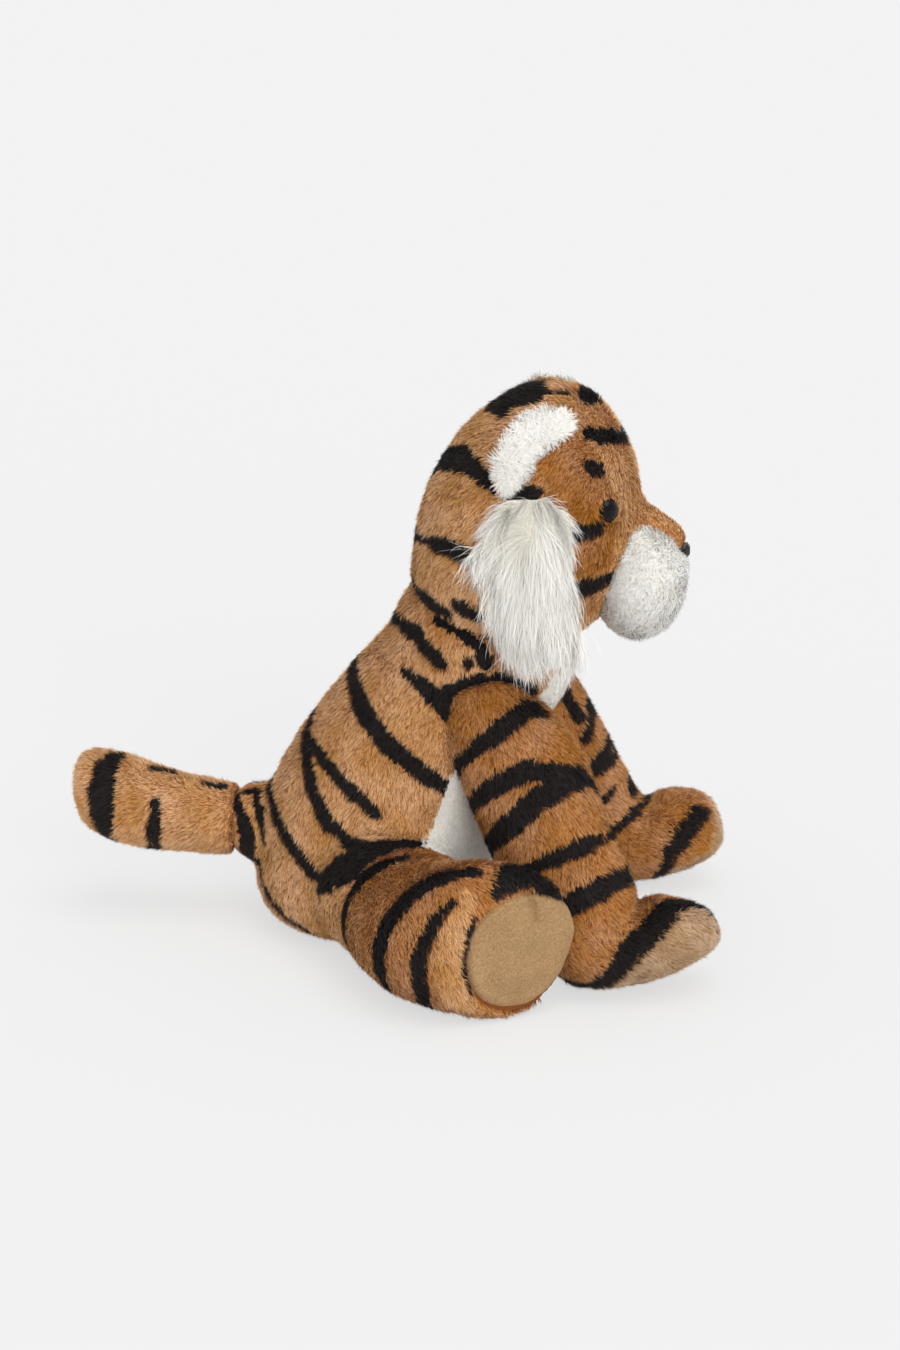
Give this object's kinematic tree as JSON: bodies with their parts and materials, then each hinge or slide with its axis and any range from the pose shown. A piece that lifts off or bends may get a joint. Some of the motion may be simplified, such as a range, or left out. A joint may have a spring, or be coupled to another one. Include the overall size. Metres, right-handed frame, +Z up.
{
  "type": "plush tiger",
  "caption": "Seated stuffed plush tiger with striped plush over soft filling, white belly, muzzle and cheek tufts, suede soles, plastic eyes and a weighted seat.",
  "frame": {"origin": "middle of the flat seat under the torso, where the toy sits on a table", "axes": "+X the way the tiger faces, +Y to its left, +Z up"},
  "size_m": [0.333, 0.268, 0.2846],
  "materials": {
    "brown_plush": "cut pile plush, printed with dark stripes",
    "white_plush": "cut pile plush",
    "long_white_plush": "long loose pile",
    "tan_suede": "short napped suede cloth",
    "sand_plush": "short cut pile plush",
    "black_plastic": "polished",
    "black_velvet": "short velvet pile",
    "filling": "polyester fibre filling",
    "pellet_cloth": "plain woven cloth",
    "clear_nylon": "moulded"
  },
  "bodies": {
    "torso": {"torso_skin": "brown_plush", "belly_panel": "white_plush", "torso_stuffing": "filling", "pellet_bag": "pellet_cloth"},
    "head": {"head_skin": "brown_plush", "head_stuffing": "filling", "muzzle_skin": "white_plush", "muzzle_stuffing": "filling", "nose_bridge": "brown_plush", "nose": "black_velvet", "eye_left": "black_plastic", "eye_right": "black_plastic", "eye_washer_left": "clear_nylon", "eye_washer_right": "clear_nylon", "cheek_tuft_left": "long_white_plush", "cheek_tuft_right": "long_white_plush"},
    "ear_left": {"ear_back_left": "brown_plush", "ear_lining_left": "white_plush"},
    "ear_right": {"ear_back_right": "brown_plush", "ear_lining_right": "white_plush"},
    "front_leg_left": {"front_leg_skin_left": "brown_plush", "front_leg_stuffing_left": "filling", "front_sole_left": "sand_plush"},
    "front_leg_right": {"front_leg_skin_right": "brown_plush", "front_leg_stuffing_right": "filling", "front_sole_right": "sand_plush"},
    "hind_leg_left": {"hind_leg_skin_left": "brown_plush", "hind_leg_stuffing_left": "filling", "hind_sole_left": "tan_suede"},
    "hind_leg_right": {"hind_leg_skin_right": "brown_plush", "hind_leg_stuffing_right": "filling", "hind_sole_right": "tan_suede"},
    "tail": {"tail_skin": "brown_plush", "tail_stuffing": "filling"}
  },
  "joints": [
    {"name": "head_turn", "type": "hinge", "parent": "torso", "child": "head", "pos_m": [0.058, 0, 0.15], "axis": [0.1822, 0, 0.9833], "range_deg": [-20, 20], "stiffness_Nm_per_rad": 0.5},
    {"name": "ear_fold_left", "type": "hinge", "parent": "head", "child": "ear_left", "pos_m": [0.08807, 0.03757, 0.25561], "axis": [-0.6885, 0.5777, -0.4384], "range_deg": [-12, 12], "stiffness_Nm_per_rad": 0.02},
    {"name": "ear_fold_right", "type": "hinge", "parent": "head", "child": "ear_right", "pos_m": [0.08807, -0.03757, 0.25561], "axis": [0.6885, 0.5777, 0.4384], "range_deg": [-12, 12], "stiffness_Nm_per_rad": 0.02},
    {"name": "front_leg_swing_left", "type": "hinge", "parent": "torso", "child": "front_leg_left", "pos_m": [0.07047, 0.04674, 0.12], "axis": [0, -1, 0], "range_deg": [0, 25], "stiffness_Nm_per_rad": 0.4},
    {"name": "front_leg_swing_right", "type": "hinge", "parent": "torso", "child": "front_leg_right", "pos_m": [0.07047, -0.04674, 0.12], "axis": [0, -1, 0], "range_deg": [0, 25], "stiffness_Nm_per_rad": 0.4},
    {"name": "hind_leg_lift_left", "type": "hinge", "parent": "torso", "child": "hind_leg_left", "pos_m": [0.0169, 0.04788, 0.038], "axis": [0, -1, 0], "range_deg": [0, 20], "stiffness_Nm_per_rad": 0.4},
    {"name": "hind_leg_lift_right", "type": "hinge", "parent": "torso", "child": "hind_leg_right", "pos_m": [0.0169, -0.04788, 0.038], "axis": [0, -1, 0], "range_deg": [0, 20], "stiffness_Nm_per_rad": 0.4},
    {"name": "tail_wag", "type": "hinge", "parent": "torso", "child": "tail", "pos_m": [-0.05395, 0, 0.0525], "axis": [0, 0, 1], "range_deg": [-22, 22], "stiffness_Nm_per_rad": 0.2}
  ]
}
